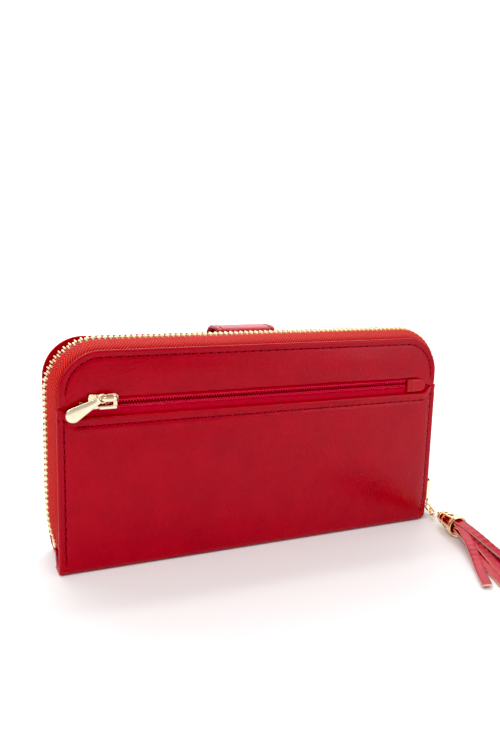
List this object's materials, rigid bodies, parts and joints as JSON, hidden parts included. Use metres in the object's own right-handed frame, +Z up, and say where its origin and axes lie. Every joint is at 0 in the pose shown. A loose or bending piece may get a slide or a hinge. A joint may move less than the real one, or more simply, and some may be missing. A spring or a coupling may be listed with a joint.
{
  "type": "zip-around wallet",
  "caption": "Long zip-around leather wallet with a zipped slip pocket, card flap, snap strap and a chain tassel.",
  "frame": {"origin": "middle of the bottom face of the spine that the wallet stands on", "axes": "+X along the width, -Y out of the slip pocket side, +Z up"},
  "size_m": [0.2104, 0.1208, 0.1028],
  "materials": {
    "red_leather": "glossy coated leather with a fine grain",
    "lining_cloth": "plain woven lining",
    "slot_leather": "thin satin leather",
    "stiffener": "pressed fibre board",
    "zip_tape_cloth": "herringbone zip tape",
    "coil_tape": "woven tape",
    "coil_nylon": "nylon coil",
    "zip_metal": "pale gold plated zip teeth",
    "gold_plate": "polished pale gold plate",
    "tassel_gold": "polished warm gold plate",
    "tassel_leather": "satin leather with pale cut edges",
    "clear_film": "clear flexible film"
  },
  "bodies": {
    "body": {"spine_panel": "red_leather", "spine_lining": "lining_cloth", "wall_lining": "lining_cloth", "wall_board": "stiffener", "wall_leather": "red_leather", "wall_card_slot_1": "slot_leather", "wall_card_slot_2": "slot_leather", "wall_card_slot_3": "slot_leather", "strap_base": "red_leather", "zip_tape_front": "zip_tape_cloth", "zip_teeth_front": "zip_metal", "zip_teeth_front_left": "zip_metal", "zip_teeth_front_right": "zip_metal", "zip_bottom_stop": "zip_metal", "gusset_left": "lining_cloth", "gusset_right": "lining_cloth"},
    "back_half": {"pocket_panel": "red_leather", "yoke_panel": "red_leather", "pocket_lining": "lining_cloth", "back_board": "stiffener", "back_lining": "lining_cloth", "back_slip_pocket": "slot_leather", "pocket_tape_lower": "coil_tape", "pocket_tape_upper": "coil_tape", "pocket_coil_lower": "coil_nylon", "pocket_coil_upper": "coil_nylon", "pocket_end_tab": "red_leather", "pocket_end_stop": "gold_plate", "zip_tape_back": "zip_tape_cloth", "zip_teeth_back": "zip_metal", "zip_teeth_back_left": "zip_metal", "zip_teeth_back_right": "zip_metal"},
    "pocket_slider": {"pocket_slider": "gold_plate"},
    "pocket_puller": {"pocket_puller": "gold_plate"},
    "coin_pocket": {"coin_panel_back": "lining_cloth", "coin_panel_front": "lining_cloth", "coin_zip_tape": "coil_tape"},
    "coin_slider": {"coin_slider": "gold_plate"},
    "coin_puller": {"coin_puller": "gold_plate"},
    "main_slider": {"main_slider": "gold_plate"},
    "pull_loop": {"pull_loop": "tassel_gold"},
    "chain_link_1": {"chain_link_1": "tassel_gold"},
    "chain_link_2": {"chain_link_2": "tassel_gold"},
    "jump_ring": {"jump_ring": "tassel_gold"},
    "tassel": {"tassel_eye": "tassel_gold", "tassel_cap": "tassel_gold", "tassel_core": "tassel_leather", "tassel_strips": "tassel_leather"},
    "flap": {"flap_panel": "red_leather", "flap_board": "stiffener", "flap_lining": "lining_cloth", "flap_card_slot_1": "slot_leather", "flap_card_slot_2": "slot_leather", "flap_window": "clear_film", "snap_stud": "gold_plate"},
    "strap": {"strap": "red_leather", "strap_lining": "lining_cloth", "snap_cap": "gold_plate", "snap_socket": "gold_plate"}
  },
  "joints": [
    {"name": "main_opening", "type": "hinge", "parent": "body", "child": "back_half", "pos_m": [0, -0.0154, 0.0012], "axis": [1, 0, 0], "range_deg": [0, 35], "deforming": ["gusset_left", "gusset_right", "zip_teeth_back_left", "zip_teeth_front_left"]},
    {"name": "coin_pocket_lean", "type": "hinge", "parent": "body", "child": "coin_pocket", "pos_m": [0, -0.0061, 0.0024], "axis": [1, 0, 0], "range_deg": [0, 17.5]},
    {"name": "flap_opening", "type": "hinge", "parent": "body", "child": "flap", "pos_m": [0, 0.0159, 0.0012], "axis": [-1, 0, 0], "range_deg": [0, 88]},
    {"name": "strap_opening", "type": "hinge", "parent": "body", "child": "strap", "pos_m": [0, 0.004, 0.0944], "axis": [1, 0, 0], "range_deg": [0, 110], "deforming": ["strap", "strap_lining", "snap_cap", "snap_socket"]},
    {"name": "pocket_zip_travel", "type": "slide", "parent": "back_half", "child": "pocket_slider", "axis": [1, 0, 0], "range_m": [0, 0.148], "deforming": ["pocket_coil_lower", "pocket_coil_upper"]},
    {"name": "pocket_puller_swing", "type": "hinge", "parent": "pocket_slider", "child": "pocket_puller", "pos_m": [-0.0775, -0.018, 0.077], "axis": [0, 1, 0], "range_deg": [-60, 60]},
    {"name": "coin_zip_travel", "type": "slide", "parent": "coin_pocket", "child": "coin_slider", "axis": [1, 0, 0], "range_m": [0, 0.13]},
    {"name": "coin_puller_lift", "type": "hinge", "parent": "coin_slider", "child": "coin_puller", "pos_m": [-0.07, -0.006, 0.0781], "axis": [0, -1, 0], "range_deg": [0, 170]},
    {"name": "main_zip_travel", "type": "slide", "parent": "body", "child": "main_slider", "axis": [0, 0, 1], "range_m": [0, 0.055], "deforming": ["zip_teeth_front_right", "zip_teeth_back_right"]},
    {"name": "pull_loop_swing", "type": "hinge", "parent": "main_slider", "child": "pull_loop", "pos_m": [0.10195, -0.0062, 0.01155], "axis": [0, -1, 0], "range_deg": [0, 40]},
    {"name": "chain_link_1_swing", "type": "hinge", "parent": "pull_loop", "child": "chain_link_1", "pos_m": [0.10195, -0.00793, 0.00447], "axis": [0, -0.2692, 0.9631], "range_deg": [-5, 20]},
    {"name": "chain_link_2_swing", "type": "hinge", "parent": "chain_link_1", "child": "chain_link_2", "pos_m": [0.10053, -0.01342, 0.00293], "axis": [-0.9777, 0.2102, 0], "range_deg": [0, 30]},
    {"name": "jump_ring_swing", "type": "hinge", "parent": "chain_link_2", "child": "jump_ring", "pos_m": [0.09866, -0.01899, 0.00289], "axis": [-0.0151, -0.0478, 0.9987], "range_deg": [-20, 20]},
    {"name": "tassel_lift", "type": "hinge", "parent": "jump_ring", "child": "tassel", "pos_m": [0.09749, -0.02349, 0.00447], "axis": [-0.965, 0.2622, 0], "range_deg": [0, 70]}
  ],
  "couplings": [
    {"joint": "coin_pocket_lean", "follows": "main_opening", "ratio": 0.5}
  ]
}
